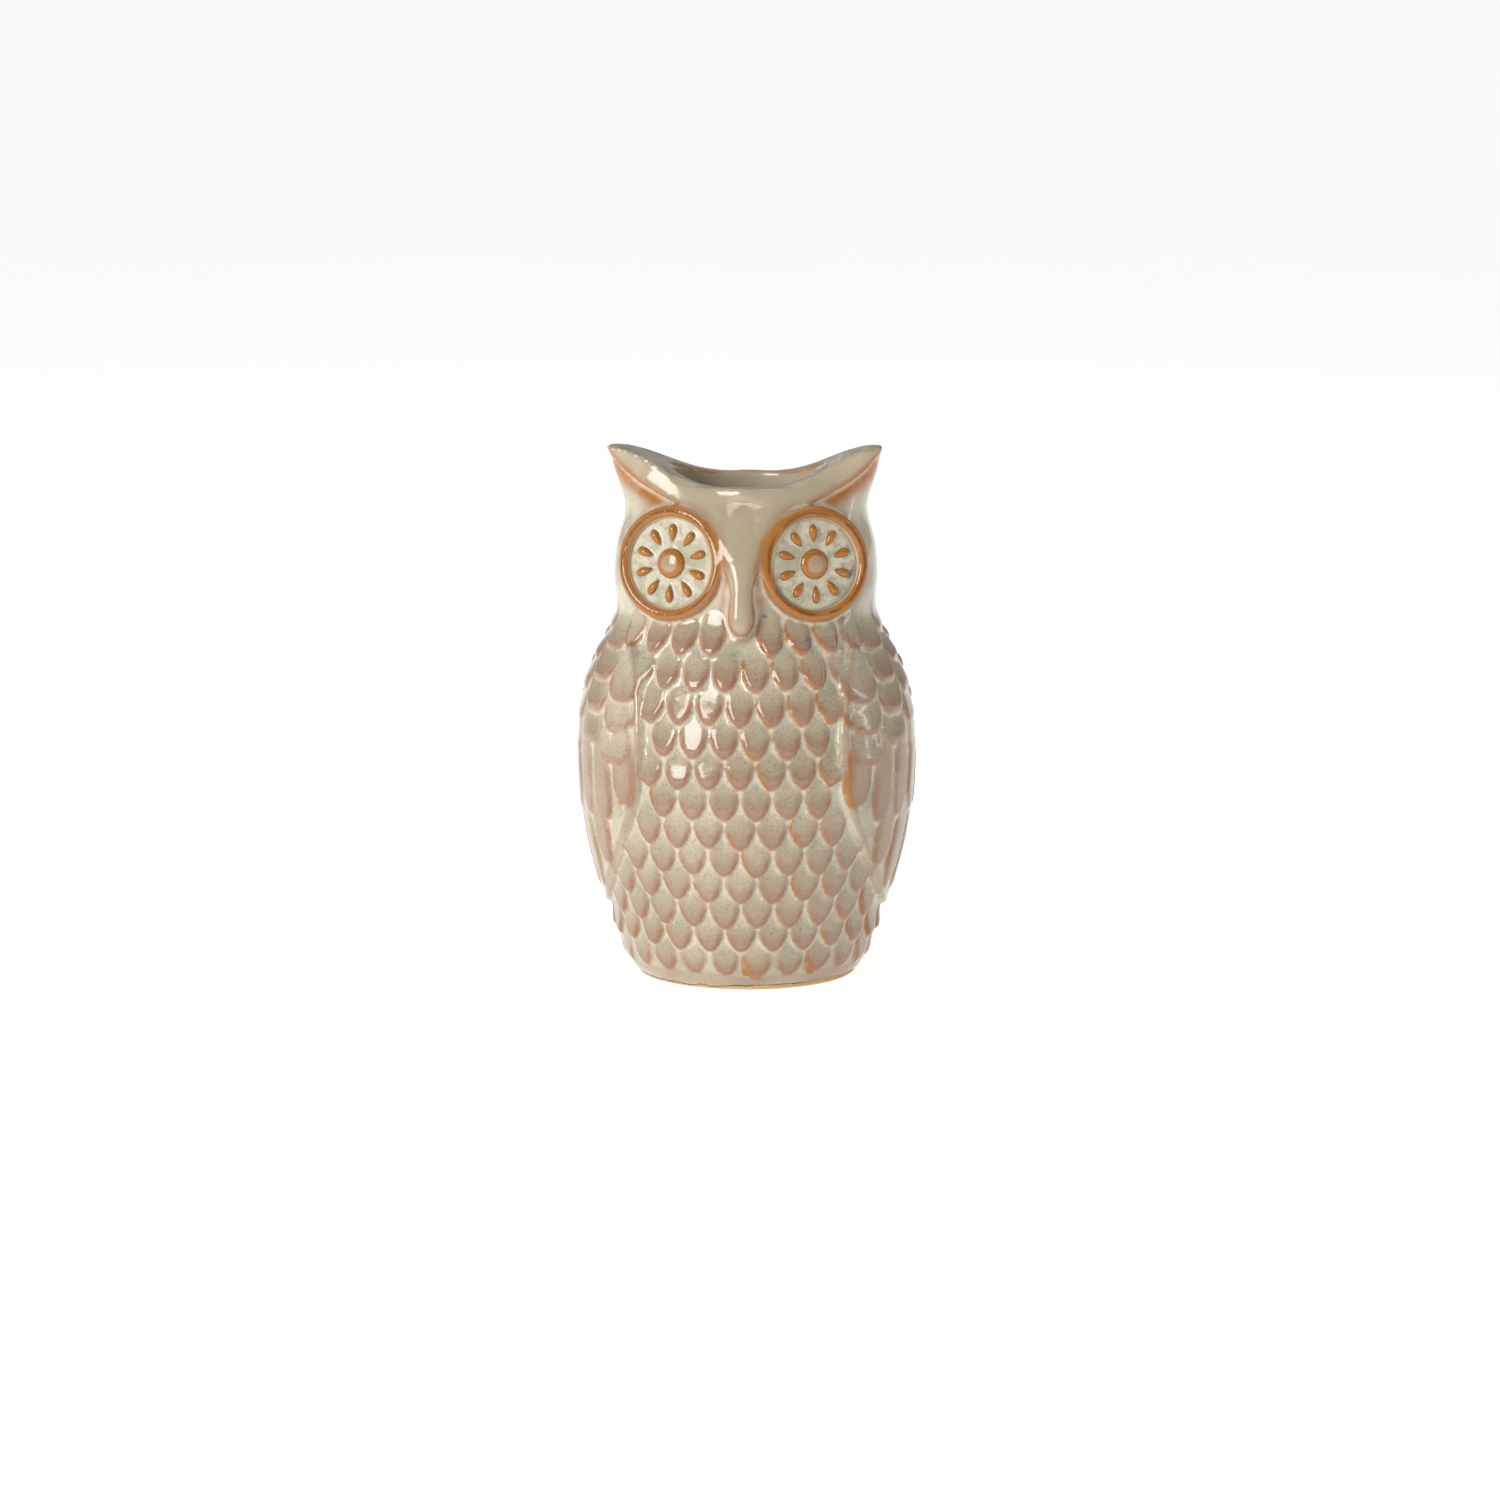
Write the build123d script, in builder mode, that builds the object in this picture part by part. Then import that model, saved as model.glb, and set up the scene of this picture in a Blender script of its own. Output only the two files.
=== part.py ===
"""Owl vase in glazed stoneware: a hollow figure with an oval mouth between its ear tufts.

The owl faces -Y and stands on its bare foot ring at Z = 0, with the origin at the middle of the
foot. Every raised detail is a clay piece of its own, seated on the vessel: eye rims, eye discs,
pupils, eye rays, brow, beak, wings and feathers. Lengths are in millimetres.
"""

import os
from collections import namedtuple
from math import cos, degrees, radians, sin

from build123d import *

# ---------------------------------------------------------------- overall sizes
height = 200.0  # table to ear tips
body_width = 120.6  # widest part of the belly, without the wings
body_depth = 112.0  # front to back at the belly
wall = 4.6  # thickness of the vessel wall
floor_thickness = 5.5  # clay between the inside and the underside

# ---------------------------------------------------------------- foot
foot_ring_height = 2.6  # bare clay that the vase stands on
foot_ring_width = 6.5  # radial width of the standing ring
foot_ring_inset = 0.6  # step in from the glazed wall to the bare clay
foot_edge_radius = 1.2  # rounding of the ring's outer edge

# ---------------------------------------------------------------- mouth and ears
mouth_width = 57.0
mouth_depth = 51.0
rim_drop = 14.5  # ear tips down to the rim
rim_flat = 17.0  # half width of the level part of the rim
rim_mid_rise = 0.36  # share of the rim's drop made up by the time it passes the mouth's side
ear_top_slope = 0.12  # how steeply the rim is still rising at the ear tips

# ---------------------------------------------------------------- eyes
eye_spacing = 52.0  # centre to centre
eye_drop = 42.0  # ear tips down to the eye centres
eye_disc_radius = 16.7
eye_disc_thickness = 1.0
eye_rim_width = 4.4
eye_rim_height = 2.6  # above the disc
pupil_radius = 5.1
pupil_height = 2.2
pupil_rounding = 1.8  # radius at the dome's edge
ray_count = 10
ray_start = 7.9  # eye centre to the ray's point
ray_length = 5.7
ray_width = 2.6

# ---------------------------------------------------------------- brow and beak
brow_thickness = 2.0
brow_width = 15.0  # across the nose, where the beak starts
brow_rise = 20.0  # from the beak's root up to where the brow spreads to the ears
brow_sweep = 0.47  # share of the way out to the ear tip at which the brow has spread
brow_sweep_rise = 0.66  # share of the brow's rise reached there
beak_length = 33.0
beak_width = 8.6
beak_tip_width = 4.6
beak_reach = 6.0  # how far the beak's tip stands out of the face
beak_tip_drop = 66.2  # ear tips down to the beak's tip
beak_rounding = 0.42  # corner radius of the beak's section as a share of its width

# ---------------------------------------------------------------- wings and feathers
wing_thickness = 2.0
covert_thickness = 0.9  # rounded scales on the shoulder of the wing
covert_pitch = 17.5  # scale to scale round the wing
covert_row_pitch = 11.3
covert_rows = 4
covert_columns = 5
covert_cover = 0.95  # length of a scale as a share of the row pitch
covert_drop = 82.0  # ear tips down to the first scales' tips
quill_thickness = 0.9  # long feathers below them
quill_pitch = 11.5
quill_length = 25.0
quill_columns = 9
quill_tiers = 2
quill_drop = 139.0  # ear tips down to the tips of the upper tier
feather_thickness = 1.3
feather_pitch = 11.4  # feather to feather round the body
feather_gap = 1.2  # ground left between one feather and the next, at their widest
feather_row_pitch = 12.4  # first row to the second
row_closing = 0.145  # how quickly the rows close up towards the foot
row_count = 11
row_cover = 1.05  # length of a feather as a share of its row's height
first_row_drop = 75.0  # ear tips down to the tips of the first row
relief_gap = 0.5  # bare clay left between one raised piece and the next

# ---------------------------------------------------------------- working values
SCALE_DEPTH = 9.0  # how deep a feather's shape is cut each way through the body's surface
SMALLEST_PIECE = 3.0  # cubic millimetres; a smaller chip of a feather isn't modelled
underside = foot_ring_height
eye_rim_radius = eye_disc_radius + eye_rim_width
feather_width = feather_pitch - feather_gap
reach = 20.0  # how far a cutting or shaping solid runs past what it shapes
LEAN_SPAN = 0.03  # share of the height over which the face's lean is taken
ROUND = 0.5523  # handle length that makes a cubic Bezier a quarter of an ellipse
half_width = body_width / 2
half_depth = body_depth / 2

# The outline of the vessel, level by level: height as a share of the owl's height, half width and
# the front and back half depths as shares of the belly's. corner is how square the front quarter
# is, slope how far each half of the face falls back, and shift how far forward the widest point is.
Level = namedtuple("Level", "rise width front back corner slope shift")
LEVELS = [
    Level(foot_ring_height / height, 0.693, 0.700, 0.700, ROUND, 0.00, 0.00),
    Level(0.045, 0.745, 0.752, 0.752, ROUND, 0.00, 0.00),
    Level(0.125, 0.835, 0.842, 0.842, ROUND, 0.00, 0.00),
    Level(0.235, 0.930, 0.932, 0.932, ROUND, 0.00, 0.00),
    Level(0.410, 1.000, 1.000, 1.000, ROUND, 0.00, 0.00),
    Level(0.545, 0.955, 0.950, 0.950, ROUND, 0.00, 0.00),
    Level(0.630, 0.850, 0.850, 0.850, 0.60, 0.05, 0.00),
    Level(0.682, 0.788, 0.780, 0.770, 0.75, 0.22, 0.00),
    Level(0.745, 0.810, 0.785, 0.765, 0.94, 0.42, 0.00),
    Level(0.805, 0.798, 0.770, 0.745, 0.94, 0.42, 0.00),
    Level(0.882, 0.745, 0.670, 0.645, 0.88, 0.32, 0.00),
    Level(0.935, 0.792, 0.545, 0.530, 0.80, 0.22, 0.08),
    Level(1.010, 0.860, 0.440, 0.130, 0.80, 0.20, 0.22),
]


def level_height(level):
    return level.rise * height


def between(rise, name):
    """The share called name, such as width, at any rise: a straight line between two levels."""
    above = next(i for i, level in enumerate(LEVELS) if level.rise >= rise or level is LEVELS[-1])
    low, high = LEVELS[max(above - 1, 0)], LEVELS[max(above, 1)]
    part = (rise - low.rise) / (high.rise - low.rise)
    return getattr(low, name) + part * (getattr(high, name) - getattr(low, name))


def owl_section(level, grow):
    """The outline of the owl at one level, grown outwards by grow."""
    wide = level.width * half_width + grow
    front = -level.front * half_depth - grow
    back = level.back * half_depth + grow
    side = -level.shift * half_depth
    cheek = front + level.slope * level.corner * wide
    with BuildLine(Plane.XY.offset(level_height(level))) as outline:
        Bezier(
            (wide, side),
            (wide, side + ROUND * (front - side)),
            (level.corner * wide, cheek),
            (0, front),
        )
        Bezier(
            (wide, side),
            (wide, side + ROUND * (back - side)),
            (ROUND * wide, back),
            (0, back),
        )
        mirror(about=Plane.YZ)
    return make_face(outline.line)


def owl_form(grow=0.0):
    """The solid outline of the owl, ears and all, grown outwards by grow."""
    sections = [owl_section(level, grow) for level in LEVELS]
    air = above_the_rim()
    with BuildPart() as form:
        loft(sections=sections, clean=False)
        add(air, mode=Mode.SUBTRACT)
    return form.part


def above_the_rim():
    """What is cut away over the mouth: level in the middle, then sweeping up to the ear tips."""
    rim = height - rim_drop
    tip = between(1.0, "width") * half_width
    with BuildPart() as air:
        with BuildSketch(Plane.XZ):
            with BuildLine():
                low_line = Line((0, rim), (rim_flat, rim))
                sweep_up = Spline(
                    low_line @ 1,
                    (mouth_width / 2, rim + rim_mid_rise * rim_drop),
                    (tip, height),
                    tangents=[(1, 0), (1, ear_top_slope)],
                )
                Polyline(
                    sweep_up @ 1,
                    (tip + reach, height),
                    (tip + reach, height + reach),
                    (0, height + reach),
                )
                mirror(about=Plane.YZ)
            make_face()
        extrude(amount=body_depth, both=True)
    return air.part


def inside():
    """The hollow: it follows the outside at the wall's thickness and closes in to the mouth."""
    rim = height - rim_drop
    belly_levels = [level for level in LEVELS if level.slope == 0 and level_height(level) > floor_thickness]
    with BuildPart() as hollow:
        with BuildSketch(Plane.XY.offset(underside + floor_thickness)):
            Ellipse(
                LEVELS[0].width * half_width - 2 * wall,
                LEVELS[0].front * half_depth - 2 * wall,
            )
        for level in belly_levels[1:]:
            with BuildSketch(Plane.XY.offset(level_height(level))):
                Ellipse(level.width * half_width - wall, level.front * half_depth - wall)
        with BuildSketch(Plane.XY.offset(height - eye_drop)):
            Ellipse(mouth_width / 2 + wall, mouth_depth / 2 + wall / 2)
        for rise in (rim, height + reach):
            with BuildSketch(Plane.XY.offset(rise)):
                Ellipse(mouth_width / 2, mouth_depth / 2)
        loft(clean=False)
    return hollow.part


def eye_plane(side):
    """The flat of the face that an eye is set on: X across the eye, Y up it, Z out of it."""
    rise = 1 - eye_drop / height
    slope = between(rise, "slope")
    lean = (between(rise - LEAN_SPAN, "front") - between(rise + LEAN_SPAN, "front")) * half_depth
    depth = between(rise, "front") * half_depth - slope * eye_spacing / 2
    return Plane(
        origin=(side * eye_spacing / 2, -depth, height - eye_drop),
        x_dir=(1, side * slope, 0),
        z_dir=(side * slope, -1, lean / (2 * LEAN_SPAN * height)),
    )


def eye_socket(side):
    """What is cleared off the face to seat an eye."""
    with BuildPart() as socket:
        with BuildSketch(eye_plane(side).offset(-eye_disc_thickness)):
            Circle(eye_rim_radius)
        extrude(amount=reach)
    return socket.part


def on_body(turn, level_z, grow=0.0):
    """A plane on the body, turn degrees round from the front, with Z facing out and Y up."""
    rise = level_z / height
    wide = between(rise, "width") * half_width + grow
    deep = between(rise, "front") * half_depth + grow
    x, y = wide * sin(radians(turn)), -deep * cos(radians(turn))
    out = (x / wide**2, y / deep**2, 0)
    return Plane(origin=(x, y, level_z), x_dir=(-out[1], out[0], 0), z_dir=out)


def layer(inner, outer):
    """The skin of clay between two growths of the owl's outline."""
    inner_form, outer_form = owl_form(inner), owl_form(outer)
    with BuildPart() as skin:
        add(outer_form)
        add(inner_form, mode=Mode.SUBTRACT)
    return skin.part


def scale(plane, width, length):
    """A prism shaped like one feather: rounded tip at the plane's origin, narrowing upwards."""
    with BuildPart() as prism:
        with BuildSketch(plane.offset(-SCALE_DEPTH)):
            with BuildLine():
                lower = Bezier(
                    (0, 0),
                    (0.28 * width, 0.02 * length),
                    (width / 2, 0.22 * length),
                    (width / 2, 0.50 * length),
                )
                upper = Bezier(
                    lower @ 1,
                    (width / 2, 0.70 * length),
                    (0.32 * width, 0.85 * length),
                    (0.16 * width, length),
                )
                Line(upper @ 1, (0, length))
                mirror(about=Plane.YZ)
            make_face()
        extrude(amount=2 * SCALE_DEPTH)
    return prism.part


def quill(plane, width, length):
    """A prism shaped like one long wing feather: a round tip at the plane's origin, square above."""
    with BuildPart() as prism:
        with BuildSketch(plane.offset(-SCALE_DEPTH)):
            with BuildLine():
                tip = EllipticalCenterArc(
                    (0, width), width / 2, width, start_angle=-90, arc_size=90
                )
                Polyline(tip @ 1, (width / 2, length), (0, length))
                mirror(about=Plane.YZ)
            make_face()
        extrude(amount=2 * SCALE_DEPTH)
    return prism.part


def seated(prisms, skin):
    """The solids that the prisms cut out of a skin, leaving off chips too small to model."""
    pieces = []
    for prism in prisms:
        pieces += [piece for piece in prism.intersect(skin) or [] if piece.volume > SMALLEST_PIECE]
    return pieces


def other_side(pieces):
    """The same pieces on the owl's other side."""
    return [piece.mirror(Plane.YZ) for piece in pieces]


outside = owl_form()
hollow = inside()
sockets = [eye_socket(side) for side in (-1, 1)]
os.makedirs("parts", exist_ok=True)

# ---------------------------------------------------------------- vessel
with BuildPart() as vessel:
    add(outside)
    add(hollow, mode=Mode.SUBTRACT)
    add(sockets, mode=Mode.SUBTRACT)
vessel.part.label = "vessel"
export_step(vessel.part, "parts/vessel.step")

# ---------------------------------------------------------------- foot ring
foot_width = LEVELS[0].width * half_width - foot_ring_inset
foot_depth = LEVELS[0].front * half_depth - foot_ring_inset
with BuildPart() as foot_ring:
    with BuildSketch():
        Ellipse(foot_width, foot_depth)
        Ellipse(foot_width - foot_ring_width, foot_depth - foot_ring_width, mode=Mode.SUBTRACT)
    extrude(amount=foot_ring_height)
    standing_edges = foot_ring.edges().group_by(Axis.Z)[0]
    fillet(standing_edges, radius=foot_edge_radius)
foot_ring.part.label = "foot_ring"
export_step(foot_ring.part, "parts/foot_ring.step")

# ---------------------------------------------------------------- eyes
with BuildPart() as ray:
    with BuildSketch(Plane.XZ):
        with BuildLine():
            back_of_drop = Bezier(
                (ray_start, 0),
                (ray_start + 0.35 * ray_length, 0.42 * ray_width),
                (ray_start + ray_length, 0.88 * ray_width),
                (ray_start + ray_length, 0),
            )
            Line(back_of_drop @ 1, back_of_drop @ 0)
        make_face()
    revolve(axis=Axis.X, revolution_arc=360)
    split(bisect_by=Plane.XY, keep=Keep.TOP)

for side, hand in ((-1, "right"), (1, "left")):
    face = eye_plane(side)
    profile = Plane(face.origin, x_dir=face.x_dir, z_dir=-face.y_dir)

    with BuildPart(face) as eye_disc:
        Cylinder(
            eye_disc_radius,
            eye_disc_thickness,
            align=(Align.CENTER, Align.CENTER, Align.MAX),
        )
    eye_disc.part.label = f"{hand}_eye_disc"
    export_step(eye_disc.part, f"parts/{hand}_eye_disc.step")

    with BuildPart() as eye_rim:
        with BuildSketch(profile):
            with BuildLine():
                Polyline(
                    (eye_disc_radius, 0),
                    (eye_disc_radius, -eye_disc_thickness),
                    (eye_rim_radius, -eye_disc_thickness),
                    (eye_rim_radius, 0),
                )
                ThreePointArc(
                    (eye_rim_radius, 0),
                    (eye_disc_radius + eye_rim_width / 2, eye_rim_height),
                    (eye_disc_radius, 0),
                )
            make_face()
        revolve(axis=Axis(face.origin, face.z_dir))
    eye_rim.part.label = f"{hand}_eye_rim"
    export_step(eye_rim.part, f"parts/{hand}_eye_rim.step")

    with BuildPart(face) as pupil:
        Cylinder(pupil_radius, pupil_height, align=(Align.CENTER, Align.CENTER, Align.MIN))
        top_edge = pupil.edges().sort_by(Axis(face.origin, face.z_dir))[-1]
        fillet(top_edge, radius=pupil_rounding)
    pupil.part.label = f"{hand}_pupil"
    export_step(pupil.part, f"parts/{hand}_pupil.step")

    with BuildPart(face) as eye_rays:
        with PolarLocations(0, ray_count, start_angle=90):
            add(ray.part)
    eye_rays.part.label = f"{hand}_eye_rays"
    export_step(eye_rays.part, f"parts/{hand}_eye_rays.step")

# ---------------------------------------------------------------- brow
# The brow runs from both ear tips along the front of the mouth and narrows to the root of the beak.
beak_tip = height - beak_tip_drop
beak_root = beak_tip + beak_length
ear_tip = LEVELS[-1].width * half_width
brow_skin = layer(0, brow_thickness)
with BuildPart() as brow:
    with BuildSketch(Plane.XZ.offset(LEVELS[-1].shift * half_depth)):
        with BuildLine():
            low_edge = Spline(
                (brow_width / 2, beak_root),
                (brow_sweep * ear_tip, beak_root + brow_sweep_rise * brow_rise),
                (ear_tip, height),
                tangents=[(0.45, 1), (0.5, 1)],
            )
            Polyline(low_edge @ 1, (ear_tip, height + reach), (0, height + reach))
            Line((0, beak_root), low_edge @ 0)
            mirror(about=Plane.YZ)
        make_face()
    extrude(amount=body_depth)
    add(brow_skin, mode=Mode.INTERSECT)
    add(sockets, mode=Mode.SUBTRACT)
brow.part.label = "brow"
export_step(brow.part, "parts/brow.step")

# ---------------------------------------------------------------- beak
# Shares of the beak's length down from its root, its width there and how far it stands out.
BEAK_SECTIONS = [
    (0.00, brow_width, brow_thickness),
    (0.30, (brow_width + 2 * beak_width) / 3, (2 * brow_thickness + beak_reach) / 3),
    (0.65, beak_width, (brow_thickness + 2 * beak_reach) / 3),
    (0.92, beak_width, beak_reach),
    (1.00, beak_tip_width, 0.8 * beak_reach),
]
with BuildPart() as beak:
    for share, width, out in BEAK_SECTIONS:
        level_z = beak_root - share * beak_length
        front = between(level_z / height, "front") * half_depth + out
        with BuildSketch(Plane.XY.offset(level_z)):
            with Locations((0, -front)):
                RectangleRounded(
                    width,
                    2 * beak_width,
                    beak_rounding * width,
                    align=(Align.CENTER, Align.MIN),
                )
    loft(clean=False)
    add(outside, mode=Mode.SUBTRACT)
    add(sockets, mode=Mode.SUBTRACT)
beak.part.label = "beak"
export_step(beak.part, "parts/beak.step")

# ---------------------------------------------------------------- wings
# Each wing seen from the side: shares of the half depth and of the height, from the shoulder
# down the breast side to the tip and up the back.
WING_OUTLINE = [
    (-0.10, 0.675),
    (-0.56, 0.625),
    (-0.78, 0.500),
    (-0.79, 0.375),
    (-0.66, 0.270),
    (-0.38, 0.175),
    (0.00, 0.130),
    (0.45, 0.210),
    (0.74, 0.400),
    (0.58, 0.600),
]
wing_skin = layer(0, wing_thickness)


def wing_block(side, gap):
    """The block that a wing is cut with, grown all round by gap."""
    with BuildPart() as block:
        with BuildSketch(Plane.YZ):
            with BuildLine():
                Spline(
                    *[(y * half_depth, z * height) for y, z in WING_OUTLINE],
                    periodic=True,
                )
            make_face()
            if gap:
                offset(amount=gap)
        extrude(amount=side * body_width)
    return block.part


for side, hand in ((-1, "right"), (1, "left")):
    block = wing_block(side, 0)
    with BuildPart() as wing:
        add(wing_skin)
        add(block, mode=Mode.INTERSECT)
    wing.part.label = f"{hand}_wing"
    export_step(wing.part, f"parts/{hand}_wing.step")

# ---------------------------------------------------------------- wing feathers
# Rounded scales stand on the shoulder of each wing, and two tiers of long feathers hang below.
covert_turn = degrees(covert_pitch / half_width)
quill_turn = degrees(quill_pitch / half_width)
wing_bed = wing_block(1, -relief_gap)
covert_skin = layer(wing_thickness, wing_thickness + covert_thickness)
quill_skin = layer(wing_thickness, wing_thickness + quill_thickness)
with BuildPart() as covert_bed:
    add(covert_skin)
    add(wing_bed, mode=Mode.INTERSECT)
with BuildPart() as quill_bed:
    add(quill_skin)
    add(wing_bed, mode=Mode.INTERSECT)

covert_prisms = []
for column in range(-(covert_columns // 2), covert_columns // 2 + 1):
    drop = covert_drop + covert_row_pitch / 2 * (column % 2)
    for row in range(covert_rows):
        place = on_body(90 + column * covert_turn, height - drop - row * covert_row_pitch)
        covert_prisms.append(scale(place, covert_pitch - relief_gap, covert_cover * covert_row_pitch))
coverts = seated(covert_prisms, covert_bed.part)

quill_prisms = []
for tier in range(quill_tiers):
    for column in range(-(quill_columns // 2), quill_columns // 2 + 1):
        place = on_body(90 + column * quill_turn, height - quill_drop - tier * quill_length)
        quill_prisms.append(quill(place, quill_pitch - relief_gap, quill_length - relief_gap))
quills = seated(quill_prisms, quill_bed.part)

for hand in ("right", "left"):
    wing_coverts = Part(Compound(coverts if hand == "left" else other_side(coverts)).wrapped)
    wing_coverts.label = f"{hand}_wing_coverts"
    export_step(wing_coverts, f"parts/{hand}_wing_coverts.step")
    wing_quills = Part(Compound(quills if hand == "left" else other_side(quills)).wrapped)
    wing_quills.label = f"{hand}_wing_quills"
    export_step(wing_quills, f"parts/{hand}_wing_quills.step")

# ---------------------------------------------------------------- body feathers
# Rows of pointed scales, each row half a feather round from the last, closing up to the foot.
with BuildPart() as beak_clearance:
    with BuildSketch(Plane.XZ):
        with Locations((0, beak_tip - relief_gap)):
            Rectangle(
                beak_width + 2 * relief_gap,
                beak_length,
                align=(Align.CENTER, Align.MIN),
            )
    extrude(amount=body_depth)
wing_clearance = wing_block(1, relief_gap)
feather_skin = layer(0, feather_thickness)
with BuildPart() as feather_bed:
    add(feather_skin)
    add(wing_clearance, mode=Mode.SUBTRACT)
    add(beak_clearance.part, mode=Mode.SUBTRACT)
    add(sockets, mode=Mode.SUBTRACT)


def feather_places(middle):
    """Where the feathers stand from the middle of the breast (0) or back (180) round to the left.

    Each is a plane on the body, the height of its row, and whether the middle line runs through it.
    """
    places = []
    for row in range(row_count):
        tip_height = height - first_row_drop - feather_row_pitch * row + row_closing * row**2
        girth_radius = between(tip_height / height, "front") * half_depth
        step = degrees(feather_pitch / girth_radius)
        row_height = feather_row_pitch - 2 * row_closing * row
        for column in range(round(90 / step)):
            turn = (column + (row % 2) / 2) * step
            side = 1 if middle == 0 else -1
            places.append((on_body(middle + side * turn, tip_height), row_height, turn == 0))
    return places


for middle, name in ((0, "breast_feathers"), (180, "back_feathers")):
    on_line, on_left = [], []
    for place, row_height, central in feather_places(middle):
        prism = scale(place, feather_width, row_cover * row_height)
        (on_line if central else on_left).append(prism)
    left_feathers = seated(on_left, feather_bed.part)
    middle_feathers = seated(on_line, feather_bed.part)
    feathers = Part(Compound(left_feathers + other_side(left_feathers) + middle_feathers).wrapped)
    feathers.label = name
    export_step(feathers, f"parts/{name}.step")
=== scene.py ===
"""An owl vase in glazed stoneware on a pale table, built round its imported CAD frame.

Lengths are in metres, in the frame's own axes: the owl faces -Y and stands on Z = 0.
"""

from math import cos, hypot, pi, radians, sin

import bpy
import numpy as np
from mathutils import Matrix, Vector
from mathutils.bvhtree import BVHTree
from mathutils.kdtree import KDTree


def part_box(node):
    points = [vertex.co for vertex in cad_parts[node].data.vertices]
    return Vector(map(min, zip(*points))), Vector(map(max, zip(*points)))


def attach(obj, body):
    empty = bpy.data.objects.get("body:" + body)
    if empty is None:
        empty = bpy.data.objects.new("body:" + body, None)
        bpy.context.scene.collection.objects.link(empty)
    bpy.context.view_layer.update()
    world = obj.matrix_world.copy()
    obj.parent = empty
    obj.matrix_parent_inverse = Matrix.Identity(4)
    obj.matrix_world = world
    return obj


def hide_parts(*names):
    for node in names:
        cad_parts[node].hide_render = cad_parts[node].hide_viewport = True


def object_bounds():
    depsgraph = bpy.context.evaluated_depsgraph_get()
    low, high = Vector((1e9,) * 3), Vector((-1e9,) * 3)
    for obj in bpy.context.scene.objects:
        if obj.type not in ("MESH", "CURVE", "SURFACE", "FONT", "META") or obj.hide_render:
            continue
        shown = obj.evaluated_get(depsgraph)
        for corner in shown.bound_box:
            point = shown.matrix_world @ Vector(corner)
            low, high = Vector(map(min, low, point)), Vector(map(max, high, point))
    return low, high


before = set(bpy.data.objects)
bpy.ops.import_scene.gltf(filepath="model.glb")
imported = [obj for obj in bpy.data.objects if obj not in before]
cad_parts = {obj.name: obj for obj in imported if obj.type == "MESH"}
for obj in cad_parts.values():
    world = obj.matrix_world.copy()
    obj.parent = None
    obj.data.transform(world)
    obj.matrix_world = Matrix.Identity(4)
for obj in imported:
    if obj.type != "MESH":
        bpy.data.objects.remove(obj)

cad_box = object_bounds()
mm = 0.001

# ------------------------------------------------------------------------------------ camera
# A long lens a little above the owl's head, turned slightly to the owl's left.
camera_turn = radians(2.4)
camera_tilt = radians(10.16)
camera_distance, camera_height, camera_aside = 1.600, 0.370, 0.0013

camera_data = bpy.data.cameras.new("camera")
camera_data.lens = 104.1
camera_data.sensor_width = 36
camera = bpy.data.objects.new("camera", camera_data)
camera.location = (
    camera_distance * sin(camera_turn) + camera_aside * cos(camera_turn),
    -camera_distance * cos(camera_turn) + camera_aside * sin(camera_turn),
    camera_height,
)
camera.rotation_euler = (pi / 2 - camera_tilt, 0, camera_turn)
bpy.context.scene.collection.objects.link(camera)
bpy.context.scene.camera = camera

# ------------------------------------------------------------------------------------ vessel
# The hollow body. The real one is slip-cast in a two-part plaster mould, which leaves a wall of
# even thickness, solid ear tufts, and a mouth trimmed with a blade and softened with a sponge.
vessel_low, vessel_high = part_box("vessel")
tall = cad_box[1][2]
half_width, half_depth = vessel_high.x, -vessel_low.y
wall = 4.6 * mm
floor_top = vessel_low.z + 5.5 * mm
rim_height = tall - 14.5 * mm
mouth_half_width, mouth_half_depth = 28.5 * mm, 25.5 * mm
foot_line = 2 * mm  # where the moulded wall begins, just below the top of the foot ring
ring_points = 96  # points round each ring of the wall
ring_step = 2 * mm  # from ring to ring
round_handle = 0.55  # handle length that makes a Bezier curve a quarter of an ellipse

# The section level by level: height as a share of the owl's, half width, front and back half
# depths as shares of the belly's, how square the front is, how far each half of the face falls
# back, and how far forward the widest point is.
levels = np.array([
    (0.000, 0.660, 0.670, 0.670, 0.55, 0.00, 0.00),
    (0.010, 0.700, 0.707, 0.707, 0.55, 0.00, 0.00),
    (0.022, 0.728, 0.735, 0.735, 0.55, 0.00, 0.00),
    (0.045, 0.762, 0.769, 0.769, 0.55, 0.00, 0.00),
    (0.125, 0.822, 0.829, 0.829, 0.55, 0.00, 0.00),
    (0.235, 0.930, 0.932, 0.932, 0.55, 0.00, 0.00),
    (0.410, 1.000, 1.000, 1.000, 0.55, 0.00, 0.00),
    (0.545, 0.955, 0.950, 0.950, 0.55, 0.00, 0.00),
    (0.630, 0.850, 0.850, 0.850, 0.60, 0.05, 0.00),
    (0.682, 0.788, 0.780, 0.770, 0.75, 0.22, 0.00),
    (0.745, 0.810, 0.785, 0.765, 0.94, 0.42, 0.00),
    (0.805, 0.798, 0.770, 0.745, 0.94, 0.42, 0.00),
    (0.882, 0.745, 0.670, 0.645, 0.88, 0.32, 0.00),
    (0.935, 0.792, 0.545, 0.530, 0.80, 0.22, 0.08),
    (1.010, 0.860, 0.440, 0.130, 0.80, 0.20, 0.22),
])


def smooth_through(places, values, at):
    """A smooth curve through values at places, read at each point of at."""
    slopes = np.gradient(values, places)
    piece = np.clip(np.searchsorted(places, at) - 1, 0, len(places) - 2)
    length = places[piece + 1] - places[piece]
    t = (at - places[piece]) / length
    start, end = values[piece], values[piece + 1]
    rise_in, rise_out = slopes[piece] * length, slopes[piece + 1] * length
    bend_in = 2 * start - 2 * end + rise_in + rise_out
    bend_out = 3 * end - 3 * start - 2 * rise_in - rise_out
    return ((bend_in * t + bend_out) * t + rise_in) * t + start


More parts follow.
